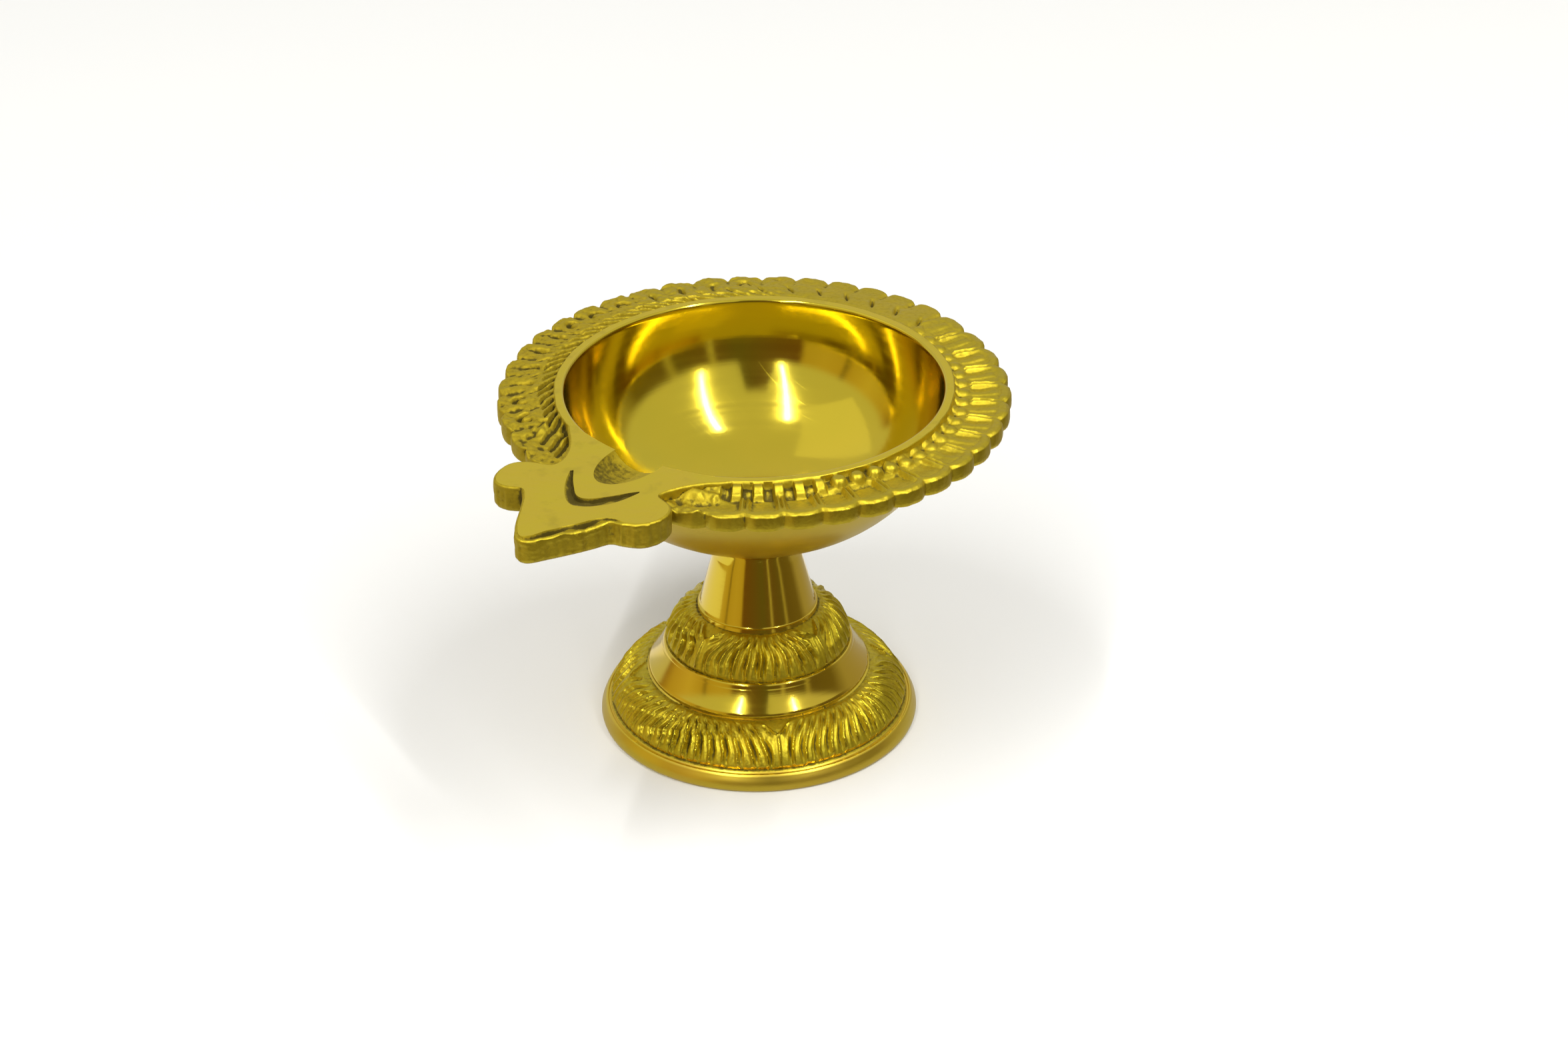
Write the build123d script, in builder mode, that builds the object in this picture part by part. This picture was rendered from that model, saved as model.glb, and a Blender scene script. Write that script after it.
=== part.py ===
from build123d import *
from math import cos, radians, sin
import os

# Footed brass oil lamp: an open bowl with a petal rim and an arrow-headed wick spout,
# a turned and relief-cast pedestal, and the threaded stud that screws the two together.
# Millimetres, +Z up, the spout points along -Y, origin at the centre of the foot's base.

# Bowl
LIP_RADIUS = 30.0            # inside edge of the bowl
LIP_HEIGHT = 60.0            # flat filed lip above the table
LIP_LAND_RADIUS = 31.6       # outer edge of the flat lip
BOWL_FLOOR_Z = 37.5          # lowest point inside
BOWL_UNDER_Z = 35.0          # lowest point of the curved underside
BOWL_OUTER_RADIUS = 32.0
INNER_POWER = 2.5            # superellipse powers: above 2 is squarer than a sphere
OUTER_POWER = 2.2
INNER_CENTRE_Z = 64.5        # heights of the superellipse centres
OUTER_CENTRE_Z = 62.0
CURVE_STEPS = 10             # points along each bowl curve, bunched towards the bottom
CURVE_BUNCHING = 1.6

# Petal rim
PETALS_PER_TURN = 42
PETAL_PHASE = 3.5            # degrees from +X to a groove between two petals
PETAL_TIP_RADIUS = 40.7
PETAL_VALLEY_RADIUS = 39.8
RIM_BODY_RADIUS = 38.8       # the plain ring that the scallops are added to
SCALLOP_OVERLAP = 1.0
RIM_TOP_Z = 59.0
RIM_EDGE_Z = 56.2            # underside of the rim at its edge
RIM_ROOT_Z = 55.4            # underside of the rim where it meets the bowl
PETAL_SCOOP_INNER = 34.8     # radial extent of the hollow in each petal
PETAL_SCOOP_OUTER = 39.4
PETAL_SCOOP_WIDTH = 3.4
PETAL_SCOOP_CORNER = 1.2
PETAL_SCOOP_DEPTH = 0.45
PETAL_GAP_WIDTH = 0.7
PETAL_GAP_INNER = 34.4       # the groove between petals runs from here to past the edge
PETAL_GAP_OUTER = 41.0
PETAL_GAP_DEPTH = 0.5
BEADS_PER_TURN = 66
BEAD_RADIUS = 1.15
BEAD_RING_RADIUS = 32.9
BEAD_CENTRE_Z = 58.8
FIRST_PETAL = -60.0          # the petals and beads run anticlockwise between these
LAST_PETAL = 240.0           # two angles and leave the spout clear

# Spout, seen from above; x to each side of its centre line and y along it
SPOUT_UNDER_Z = 55.5
SPOUT_ROOT_RADIUS = 30.6     # the plate starts inside the lip's land
SPOUT_LEFT = [
    (-19.0, -25.0), (-15.5, -27.9), (-12.6, -30.9), (-10.8, -33.9), (-9.9, -36.6), (-10.05, -38.4),
]
LEFT_LOBE = [
    (-10.05, -38.4), (-13.5, -39.9), (-15.3, -42.6), (-14.4, -46.2), (-12.0, -48.0), (-8.4, -46.8),
]
SPOUT_RIGHT = [
    (18.4, -25.0), (15.0, -28.5), (12.6, -30.6), (10.8, -33.0), (9.6, -35.1), (9.0, -37.2),
]
RIGHT_LOBE = [
    (9.0, -37.2), (11.4, -38.1), (13.65, -41.1), (13.5, -43.5), (12.0, -45.9), (7.2, -46.8),
]
LEFT_NOTCH = (-7.5, -47.4)
RIGHT_NOTCH = (6.9, -47.6)
TIP_Y = -59.1
NOSE_HALF_WIDTH = 1.5
NOSE_Y = -57.6

# Engraving and wick channel on the spout's flat top
CHEVRON_APEX_Y = -46.5
CHEVRON_INNER_Y = -44.1
CHEVRON_ARM = (6.6, -38.1)
CHEVRON_DEPTH = 0.8
BORDER_WIDTH = 1.6
BORDER_DROP = 0.8
BORDER_HALF_WIDTH = 6.9
BORDER_START_Y = -47.7
BORDER_APEX_Y = -54.9        # where its two inner edges meet
BORDER_END_Y = -60.1         # just past the tip
WICK_CHANNEL_RADIUS = 6.0
WICK_CHANNEL_END_Y = -39.0
WICK_CHANNEL_TILT = 12.0     # degrees below level, running down into the bowl
WICK_CHANNEL_LENGTH = 14.0

# Stem, dome, band, skirt and foot
SEAT_Z = 32.0                # where the bowl's boss sits on the stem
SEAT_RADIUS = 6.8
BOSS_FLARE_RADIUS = 9.2      # where the boss runs out into the underside of the bowl
BOSS_STRAIGHT = 1.5          # height of its straight part
STEM_CONE_RADIUS = 7.3       # top of the straight, conical part of the stem
STEM_CONE_Z = 29.0
STEM_FOOT_RADIUS = 9.5
STEM_FOOT_Z = 20.6
DOME_TOP_RADIUS = 10.1
BAND_TOP_RADIUS = 15.1
BAND_TOP_Z = 13.65
BAND_FOOT_RADIUS = 18.0
BAND_FOOT_Z = 9.3
SKIRT_TOP_RADIUS = 18.5
SKIRT_FOOT_RADIUS = 24.4
SKIRT_FOOT_Z = 2.9
FOOT_RADIUS = 26.0
FOOT_EDGE_Z = 0.8
FOOT_SHOULDER_RADIUS = 25.2
FOOT_SHOULDER_Z = 2.6
FOOT_RING_RADIUS = 25.6      # outer edge of the flat ring it stands on
DOME_BULGE = 1.2             # sagitta of each band's arc, inwards where negative
BAND_BULGE = -0.5
SKIRT_BULGE = 1.1
# the cast hollow beneath, (radius, height) from the standing ring to its top
HOLLOW = [(22.6, 0.0), (21.4, 2.6), (16.4, 7.4), (13.2, 12.2), (8.2, 17.4), (0.0, 18.6)]

# Threaded stud and its two holes
STUD_RADIUS = 4.0
STUD_ROOT_RADIUS = 3.4
THREAD_CUT_RADIUS = 4.1      # outer ends of the V grooves, just outside the stud
THREAD_PITCH = 1.25
THREAD_HALF_WIDTH = 0.45
THREAD_LEAD_IN = 1.2         # plain length before the first groove
STUD_CHAMFER = 0.5
STUD_FOOT_Z = 22.0
STUD_TOP_Z = 36.2
STUD_CLEARANCE = 0.05
PEDESTAL_HOLE_FOOT_Z = 21.2
BOWL_HOLE_TOP_Z = 36.4


def curve_radius(radius, centre_z, bottom_z, power, z):
    """Radius at height z of a bowl curve that is this wide at its centre's height."""
    fall = ((centre_z - z) / (centre_z - bottom_z)) ** power
    return radius * (1.0 - fall) ** (1.0 / power)


def curve_height(radius, centre_z, bottom_z, power, at_radius):
    """Height at which that curve has this radius."""
    fall = 1.0 - (at_radius / radius) ** power
    return centre_z - (centre_z - bottom_z) * fall ** (1.0 / power)


def bowl_curve(radius, centre_z, bottom_z, power, start_z, top_z):
    """Points (radius, height) of a bowl curve from start_z up to top_z."""
    points = []
    for step in range(CURVE_STEPS + 1):
        z = start_z + (top_z - start_z) * (step / CURVE_STEPS) ** CURVE_BUNCHING
        points.append((curve_radius(radius, centre_z, bottom_z, power, z), z))
    return points


def polar(radius, angle):
    """A point in plan at this radius and this angle in degrees."""
    return (radius * cos(radians(angle)), radius * sin(radians(angle)))


os.makedirs("parts", exist_ok=True)

petal_pitch = 360.0 / PETALS_PER_TURN
bead_pitch = 360.0 / BEADS_PER_TURN
petal_count = int((LAST_PETAL - FIRST_PETAL) / petal_pitch)
first_groove = PETAL_PHASE + petal_pitch * round((FIRST_PETAL - PETAL_PHASE) / petal_pitch)
bead_count = int((LAST_PETAL - FIRST_PETAL) / bead_pitch)
thread_length = STUD_TOP_Z - STUD_FOOT_Z - 2 * THREAD_LEAD_IN
thread_turns = int(thread_length / THREAD_PITCH) + 1

# The inner curve is as wide as LIP_RADIUS at the lip
inner_radius = LIP_RADIUS / curve_radius(
    1.0, INNER_CENTRE_Z, BOWL_FLOOR_Z, INNER_POWER, LIP_HEIGHT
)
inner_curve = bowl_curve(
    inner_radius, INNER_CENTRE_Z, BOWL_FLOOR_Z, INNER_POWER, BOWL_FLOOR_Z, LIP_HEIGHT
)
boss_flare_z = curve_height(
    BOWL_OUTER_RADIUS, OUTER_CENTRE_Z, BOWL_UNDER_Z, OUTER_POWER, BOSS_FLARE_RADIUS
)
outer_curve = bowl_curve(
    BOWL_OUTER_RADIUS, OUTER_CENTRE_Z, BOWL_UNDER_Z, OUTER_POWER, boss_flare_z, RIM_ROOT_Z
)

# ---------------------------------------------------------------- oil bowl
with BuildPart() as oil_bowl:
    # Turned bowl shell with the flat lip, the solid rim and the boss that sits on the stem
    with BuildSketch(Plane.XZ):
        with BuildLine():
            Spline(*inner_curve, tangents=[(1, 0), (0.02, 1)])
            Polyline(
                (LIP_RADIUS, LIP_HEIGHT),
                (LIP_LAND_RADIUS, LIP_HEIGHT),
                (LIP_LAND_RADIUS, RIM_TOP_Z),
                (RIM_BODY_RADIUS, RIM_TOP_Z),
                (RIM_BODY_RADIUS, RIM_EDGE_Z),
                outer_curve[-1],
            )
            Spline(*reversed(outer_curve), tangents=[(-0.2, -1), (-1, -0.15)])
            Spline(
                outer_curve[0],
                (SEAT_RADIUS, SEAT_Z + BOSS_STRAIGHT),
                tangents=[(-1, -0.15), (0, -1)],
            )
            Polyline(
                (SEAT_RADIUS, SEAT_Z + BOSS_STRAIGHT),
                (SEAT_RADIUS, SEAT_Z),
                (0.0, SEAT_Z),
                inner_curve[0],
            )
        make_face()
    revolve(axis=Axis.Z)

    # Scalloped edge: one arc for each petal, all the way round
    with BuildSketch(Plane.XY.offset(RIM_EDGE_Z)):
        with BuildLine():
            for petal in range(PETALS_PER_TURN):
                start = PETAL_PHASE + petal * petal_pitch
                ThreePointArc(
                    polar(PETAL_VALLEY_RADIUS, start),
                    polar(PETAL_TIP_RADIUS, start + petal_pitch / 2),
                    polar(PETAL_VALLEY_RADIUS, start + petal_pitch),
                )
        make_face()
        Circle(RIM_BODY_RADIUS - SCALLOP_OVERLAP, mode=Mode.SUBTRACT)
    extrude(amount=RIM_TOP_Z - RIM_EDGE_Z)

    # Arrow-headed spout plate, level with the lip
    with BuildSketch(Plane.XY.offset(SPOUT_UNDER_Z)):
        with BuildLine():
            Spline(*SPOUT_LEFT)
            Spline(*LEFT_LOBE)
            Line(LEFT_LOBE[-1], LEFT_NOTCH)
            Line(LEFT_NOTCH, (-NOSE_HALF_WIDTH, NOSE_Y))
            ThreePointArc((-NOSE_HALF_WIDTH, NOSE_Y), (0.0, TIP_Y), (NOSE_HALF_WIDTH, NOSE_Y))
            Line((NOSE_HALF_WIDTH, NOSE_Y), RIGHT_NOTCH)
            Line(RIGHT_NOTCH, RIGHT_LOBE[-1])
            Spline(*reversed(RIGHT_LOBE))
            Spline(*reversed(SPOUT_RIGHT))
            Line(SPOUT_RIGHT[0], SPOUT_LEFT[0])
        make_face()
        Circle(SPOUT_ROOT_RADIUS, mode=Mode.SUBTRACT)
    extrude(amount=LIP_HEIGHT - SPOUT_UNDER_Z)

    # Beads between the lip and the petals
    for bead in range(bead_count):
        angle = FIRST_PETAL + (bead + 0.5) * bead_pitch
        with Locations((*polar(BEAD_RING_RADIUS, angle), BEAD_CENTRE_Z)):
            Sphere(BEAD_RADIUS)

    # A hollow in each petal
    with BuildSketch(Plane.XY.offset(RIM_TOP_Z)):
        for petal in range(petal_count):
            centre = first_groove + (petal + 0.5) * petal_pitch
            scoop_middle = (PETAL_SCOOP_INNER + PETAL_SCOOP_OUTER) / 2
            with Locations(Location((*polar(scoop_middle, centre), 0), (0, 0, centre))):
                RectangleRounded(
                    PETAL_SCOOP_OUTER - PETAL_SCOOP_INNER, PETAL_SCOOP_WIDTH, PETAL_SCOOP_CORNER
                )
    extrude(amount=-PETAL_SCOOP_DEPTH, mode=Mode.SUBTRACT)

    # A groove between neighbouring petals
    with BuildSketch(Plane.XY.offset(RIM_TOP_Z)):
        for groove in range(petal_count + 1):
            angle = first_groove + groove * petal_pitch
            gap_middle = (PETAL_GAP_INNER + PETAL_GAP_OUTER) / 2
            with Locations(Location((*polar(gap_middle, angle), 0), (0, 0, angle))):
                Rectangle(PETAL_GAP_OUTER - PETAL_GAP_INNER, PETAL_GAP_WIDTH)
    extrude(amount=-PETAL_GAP_DEPTH, mode=Mode.SUBTRACT)

    # Engraved chevron across the neck of the spout
    with BuildSketch(Plane.XY.offset(LIP_HEIGHT)):
        with BuildLine():
            Polyline(
                (0.0, CHEVRON_APEX_Y),
                CHEVRON_ARM,
                (0.0, CHEVRON_INNER_Y),
                (-CHEVRON_ARM[0], CHEVRON_ARM[1]),
                (0.0, CHEVRON_APEX_Y),
            )
        make_face()
    extrude(amount=-CHEVRON_DEPTH, mode=Mode.SUBTRACT)

    # Lowered border along both edges of the arrow head
    with BuildSketch(Plane.XY.offset(LIP_HEIGHT)):
        with BuildLine():
            Polyline(
                (-BORDER_HALF_WIDTH - BORDER_WIDTH, BORDER_START_Y),
                (-BORDER_HALF_WIDTH + BORDER_WIDTH, BORDER_START_Y),
                (0.0, BORDER_APEX_Y),
                (BORDER_HALF_WIDTH - BORDER_WIDTH, BORDER_START_Y),
                (BORDER_HALF_WIDTH + BORDER_WIDTH, BORDER_START_Y),
                (BORDER_HALF_WIDTH + BORDER_WIDTH, BORDER_END_Y),
                (-BORDER_HALF_WIDTH - BORDER_WIDTH, BORDER_END_Y),
                (-BORDER_HALF_WIDTH - BORDER_WIDTH, BORDER_START_Y),
            )
        make_face()
    extrude(amount=-BORDER_DROP, mode=Mode.SUBTRACT)

    # Wick channel: a tilted round groove that runs down through the lip into the bowl
    tilt = radians(WICK_CHANNEL_TILT)
    channel_end = Plane(
        origin=(
            0.0,
            WICK_CHANNEL_END_Y - WICK_CHANNEL_RADIUS * sin(tilt),
            LIP_HEIGHT + WICK_CHANNEL_RADIUS * cos(tilt),
        ),
        x_dir=(1, 0, 0),
        z_dir=(0, cos(tilt), -sin(tilt)),
    )
    with BuildSketch(channel_end):
        Circle(WICK_CHANNEL_RADIUS)
    extrude(amount=WICK_CHANNEL_LENGTH, mode=Mode.SUBTRACT)

    # Blind hole for the stud, up through the boss
    with BuildSketch(Plane.XY.offset(SEAT_Z)):
        Circle(STUD_RADIUS + STUD_CLEARANCE)
    extrude(amount=BOWL_HOLE_TOP_Z - SEAT_Z, mode=Mode.SUBTRACT)

# ---------------------------------------------------------------- pedestal
with BuildPart() as pedestal:
    with BuildSketch(Plane.XZ):
        with BuildLine():
            # stem, from the seat down
            Line((0.0, SEAT_Z), (SEAT_RADIUS, SEAT_Z))
            Spline(
                (SEAT_RADIUS, SEAT_Z),
                (STEM_CONE_RADIUS, STEM_CONE_Z),
                (STEM_FOOT_RADIUS, STEM_FOOT_Z),
                tangents=[(0, -1), (0.27, -1)],
            )
            # dome, band and skirt, with a small step at the top of each
            Line((STEM_FOOT_RADIUS, STEM_FOOT_Z), (DOME_TOP_RADIUS, STEM_FOOT_Z))
            SagittaArc((DOME_TOP_RADIUS, STEM_FOOT_Z), (BAND_TOP_RADIUS, BAND_TOP_Z), DOME_BULGE)
            SagittaArc((BAND_TOP_RADIUS, BAND_TOP_Z), (BAND_FOOT_RADIUS, BAND_FOOT_Z), BAND_BULGE)
            Line((BAND_FOOT_RADIUS, BAND_FOOT_Z), (SKIRT_TOP_RADIUS, BAND_FOOT_Z))
            SagittaArc((SKIRT_TOP_RADIUS, BAND_FOOT_Z), (SKIRT_FOOT_RADIUS, SKIRT_FOOT_Z), SKIRT_BULGE)
            # foot rim and the flat ring it stands on
            Polyline(
                (SKIRT_FOOT_RADIUS, SKIRT_FOOT_Z),
                (FOOT_SHOULDER_RADIUS, FOOT_SHOULDER_Z),
                (FOOT_RADIUS, FOOT_EDGE_Z),
                (FOOT_RING_RADIUS, 0.0),
                HOLLOW[0],
            )
            Spline(*HOLLOW, tangents=[(-0.1, 1), (-1, 0)])
            Line(HOLLOW[-1], (0.0, SEAT_Z))
        make_face()
    revolve(axis=Axis.Z)
    with BuildSketch(Plane.XY.offset(SEAT_Z)):
        Circle(STUD_RADIUS + STUD_CLEARANCE)
    extrude(amount=PEDESTAL_HOLE_FOOT_Z - SEAT_Z, mode=Mode.SUBTRACT)

# ---------------------------------------------------------------- stud
with BuildPart() as bowl_stud:
    with BuildSketch(Plane.XY.offset(STUD_FOOT_Z)):
        Circle(STUD_RADIUS)
    extrude(amount=STUD_TOP_Z - STUD_FOOT_Z)
    chamfer(bowl_stud.edges().filter_by(GeomType.CIRCLE), STUD_CHAMFER)
    # thread drawn as one groove for each turn
    with BuildSketch(Plane.XZ):
        for turn in range(thread_turns):
            groove_z = STUD_FOOT_Z + THREAD_LEAD_IN + turn * THREAD_PITCH
            with BuildLine():
                Polyline(
                    (STUD_ROOT_RADIUS, groove_z),
                    (THREAD_CUT_RADIUS, groove_z - THREAD_HALF_WIDTH),
                    (THREAD_CUT_RADIUS, groove_z + THREAD_HALF_WIDTH),
                    (STUD_ROOT_RADIUS, groove_z),
                )
            make_face()
    revolve(axis=Axis.Z, mode=Mode.SUBTRACT)

oil_bowl.part.label = "oil_bowl"
pedestal.part.label = "pedestal"
bowl_stud.part.label = "bowl_stud"

export_step(oil_bowl.part, "parts/oil_bowl.step")
export_step(pedestal.part, "parts/pedestal.step")
export_step(bowl_stud.part, "parts/bowl_stud.step")
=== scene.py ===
from math import cos, pi, radians, sin

import bpy
import numpy as np
from mathutils import Matrix, Vector


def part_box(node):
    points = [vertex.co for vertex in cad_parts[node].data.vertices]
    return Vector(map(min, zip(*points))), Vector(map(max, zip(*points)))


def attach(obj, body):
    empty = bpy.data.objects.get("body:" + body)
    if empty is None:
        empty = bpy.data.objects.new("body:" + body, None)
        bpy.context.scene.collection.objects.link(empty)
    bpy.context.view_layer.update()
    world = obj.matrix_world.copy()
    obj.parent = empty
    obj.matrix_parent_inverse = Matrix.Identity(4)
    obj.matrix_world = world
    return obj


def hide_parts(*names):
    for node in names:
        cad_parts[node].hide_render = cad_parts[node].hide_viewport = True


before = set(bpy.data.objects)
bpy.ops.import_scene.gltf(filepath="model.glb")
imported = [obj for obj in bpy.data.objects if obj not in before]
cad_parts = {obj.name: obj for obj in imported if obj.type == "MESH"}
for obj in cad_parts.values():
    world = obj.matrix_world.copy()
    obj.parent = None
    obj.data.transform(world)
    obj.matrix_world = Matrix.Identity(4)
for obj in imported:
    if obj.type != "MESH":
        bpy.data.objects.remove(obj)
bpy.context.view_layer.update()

# Shapes are worked out in millimetres and written to meshes in metres.
MM = 0.001

# ------------------------------------------------------------ sizes from the frame, mm
bowl_low, bowl_high = (np.array(corner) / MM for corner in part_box("oil_bowl"))
stud_low, stud_high = (np.array(corner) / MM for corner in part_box("bowl_stud"))
LIP_Z = float(bowl_high[2])            # flat lip and spout top
SEAT_Z = float(bowl_low[2])            # where the bowl sits on the stem
PETAL_RADIUS = float(bowl_high[0])     # rim, over the petals
TIP_Y = float(bowl_low[1])             # tip of the spout, on -Y
FOOT_RADIUS = float(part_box("pedestal")[1][0] / MM)
STUD_RADIUS = float(stud_high[0])

# ------------------------------------------------------------ sizes of the castings, mm
LIP_RADIUS = PETAL_RADIUS - 10.7       # inside edge of the bowl
LAND_RADIUS = LIP_RADIUS + 1.6         # outer edge of the flat lip
FLOOR_Z = LIP_Z - 22.5                 # lowest point inside the bowl
UNDER_Z = LIP_Z - 25.0                 # lowest point of the curved underside
RIM_Z = LIP_Z - 1.0                    # tops of the petals
RIM_UNDER_Z = LIP_Z - 3.8
RIM_ROOT_Z = LIP_Z - 4.6
SPOUT_UNDER_Z = LIP_Z - 4.5
HOLE_TOP_Z = LIP_Z - 23.6              # end of the stud's hole in the bowl
PETALS = 42
BEADS = 66
BEAD_RADIUS = 1.30
BEAD_RING = LIP_RADIUS + 2.85
STUD_HOLE_RADIUS = STUD_RADIUS + 0.05
BOSS_RADIUS = 6.8
RING_COLUMNS = PETALS * 32             # points round the bowl
FOOT_COLUMNS = 1200                    # points round the pedestal


# ============================================================ small tools
def noise(points, lump, seed):
    """Smooth value noise in [-1, 1] at an (n, 3) array of points, with lumps of this size.

    The large primes turn each corner of the grid into 16 bits that look random.
    """
    places = points / lump + 1000.0
    cell = np.floor(places).astype(np.int64)
    part = places - cell
    part = part * part * (3.0 - 2.0 * part)
    total = np.zeros(len(points))
    for corner in range(8):
        step = np.array([(corner >> axis) & 1 for axis in range(3)])
        x, y, z = (cell + step).T
        mixed = (x * 73856093) ^ (y * 19349663) ^ (z * 83492791) ^ (seed * 2654435)
        mixed = (mixed ^ (mixed >> 13)) * 1274126177
        mixed = (mixed ^ (mixed >> 16)) & 0xFFFF
        weight = np.prod(np.where(step == 1, part, 1.0 - part), axis=1)
        total += weight * (mixed / 32767.5 - 1.0)
    return total


def rough(points, lump, seed):
    """Three octaves of noise, for the grain of sand-cast brass."""
    return (
        noise(points, lump, seed)
        + 0.5 * noise(points, lump / 2.1, seed + 1)
        + 0.25 * noise(points, lump / 4.3, seed + 2)
    ) / 1.75


def ramp(low, high, value):
    """Smooth step from 0 at low to 1 at high; low may be the larger."""
    share = np.clip((value - low) / (high - low), 0.0, 1.0)
    return share * share * (3.0 - 2.0 * share)


def bump(value, centre, width):
    """Smooth hump of height 1, about this wide."""
    return np.exp(-(((value - centre) / width) ** 2))


def blend(first, second, share):
    """first where share is 0 and second where it is 1."""
    return first * (1.0 - share) + second * share


def jitter(index, seed):
    """One random number in [-1, 1] for each whole number in index."""
    half = np.full(index.shape, 0.5)
    return noise(np.stack([index * 7.0 + 0.5, half, half], -1), 1.0, seed)


def round_points(radius, z, angle):
    """Points at these radii, heights and angles round the axis."""
    return np.stack([radius * np.cos(angle), radius * np.sin(angle), z + 0.0 * radius], -1)


def mesh_object(name, vertices, faces):
    """Object of a mesh given in millimetres."""
    mesh = bpy.data.meshes.new(name)
    mesh.from_pydata((np.asarray(vertices) * MM).tolist(), [], faces)
    mesh.validate()
    thing = bpy.data.objects.new(name, mesh)
    bpy.context.scene.collection.objects.link(thing)
    return thing


def ring_faces(count, columns):
    """Faces between each two neighbouring rings of points."""
    column = np.arange(columns)
    after = (column + 1) % columns
    faces = []
    for here in range(0, (count - 1) * columns, columns):
        below = here + columns
        quads = np.stack([here + column, below + column, below + after, here + after], -1)
        faces.extend(quads.tolist())
    return faces


def closed_rings(name, rings):
    """Mesh through rings[ring, column] of points, closed by a point at each end."""
    count, columns = rings.shape[:2]
    vertices = np.vstack([rings.reshape(-1, 3), rings[0].mean(axis=0), rings[-1].mean(axis=0)])
    faces = ring_faces(count, columns)
    column = np.arange(columns)
    after = (column + 1) % columns
    pole = count * columns
    end = (count - 1) * columns
    faces.extend(np.stack([np.full(columns, pole), column, after], -1).tolist())
    faces.extend(np.stack([end + column, np.full(columns, pole + 1), end + after], -1).tolist())
    return mesh_object(name, vertices, faces)


def cut(target, tool, operation):
    """target joined with or cut by tool, which is used up."""
    modifier = target.modifiers.new("boolean", "BOOLEAN")
    modifier.operation = operation
    modifier.solver = "MANIFOLD"
    modifier.object = tool
    ready = target.evaluated_get(bpy.context.evaluated_depsgraph_get())
    mesh = bpy.data.meshes.new_from_object(ready)
    target.modifiers.clear()
    mesh.materials.clear()
    target.data = mesh
    mesh.name = target.name
    bpy.data.objects.remove(tool)


def smooth_line(points, step):
    """Catmull-Rom curve through points in plan, with a point about every step."""
    points = np.asarray(points, float)
    padded = np.vstack([2 * points[0] - points[1], points, 2 * points[-1] - points[-2]])
    line = []
    for first, start, end, last in zip(padded[:-3], padded[1:-2], padded[2:-1], padded[3:]):
        count = max(2, int(np.linalg.norm(end - start) / step))
        for share in np.arange(count) / count:
            square = share * share
            cube = square * share
            line.append(
                0.5
                * (
                    2 * start
                    + (end - first) * share
                    + (2 * first - 5 * start + 4 * end - last) * square
                    + (3 * start - first - 3 * end + last) * cube
                )
            )
    return line + [points[-1]]


# ============================================================ bowl
def superellipse(radius, centre_z, bottom_z, power, start, stop, count):
    """(radius, height) along a bowl curve, from angle start to stop; 0 is its lowest point."""
    angle = np.linspace(start, stop, count)
    across = radius * np.sin(angle) ** (2.0 / power)
    down = (centre_z - bottom_z) * np.cos(angle) ** (2.0 / power)
    return np.stack([across, centre_z - down], -1)


def petal_place(degrees):
    """Petal number and place across the petal, -0.5 to 0.5, at these angles.

    The hand-cut pattern was not evenly spaced, so its phase drifts round the rim.
    """
    phase = 3.4 + 3.0 * bump(degrees, 78.0, 30.0) - 1.6 * bump(degrees, 195.0, 22.0)
    place = (degrees - phase) * PETALS / 360.0
    number = np.floor(place)
    return number, place - number - 0.5


def rim_radius(degrees):
    """Scalloped outer edge of the rim."""
    number, across = petal_place(degrees)
    swell = 1.0 - np.abs(2.0 * across) ** 2.6
    plain = ramp(24.0, 16.0, np.abs(degrees - 270.0)) + ramp(24.0, 16.0, np.abs(degrees + 90.0))
    size = (1.0 + 0.25 * jitter(number, 3)) * (1.0 - 0.8 * np.clip(plain, 0.0, 1.0))
    return PETAL_RADIUS - 0.12 - np.clip(1.0 - swell * size, 0.0, 1.0) * 0.95


def bead_height(radius, degrees):
    """Height of the rim's top between the lip and the petals, where the beads stand."""
    place = degrees * BEADS / 360.0 + 0.3
    number = np.floor(place)
    along = (place - number - 0.5 + 0.07 * jitter(number, 11)) * (2 * pi / BEADS) * BEAD_RING
    size = BEAD_RADIUS * (1.0 + 0.10 * jitter(number, 12))
    out = radius - BEAD_RING - 0.12 * jitter(number, 13)
    ball = np.sqrt(np.clip(size**2 - along**2 - out**2, 0.0, None)) * 0.95 - 0.15
    between = ramp(0.45, 0.9, np.abs(along))
    ground = 0.30 - 0.75 * ramp(LAND_RADIUS, LAND_RADIUS + 0.9, radius)
    # a pit between each two beads, hard against the lip
    pit = -0.55 * between * bump(radius, LAND_RADIUS + 0.55, 0.55) * (1.0 + 0.4 * jitter(number, 14))
    worn = ramp(-24.0, -6.0, degrees)
    raised = ground * worn + ball * (1.0 - 0.35 * worn) - 0.22 * worn
    beads = np.maximum(ground + pit * (1.0 - 0.45 * worn), raised)
    # nearest the spout each bead runs out into a bar, with a dark slot between bars
    slot = ramp(0.62, 0.95, np.abs(along)) * ramp(LAND_RADIUS, LAND_RADIUS + 0.4, radius)
    fall = 0.75 - 0.80 * ramp(LAND_RADIUS + 0.4, LAND_RADIUS + 2.9, radius)
    knob = 0.18 * bump(radius, LAND_RADIUS + 1.1, 0.6) * (1.0 + 0.8 * jitter(number, 15))
    bars = fall + knob - (1.25 + 0.3 * jitter(number, 16)) * slot * ramp(35.3, 34.6, radius)
    return blend(beads, bars, ramp(-33.0, -39.0, degrees))


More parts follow.
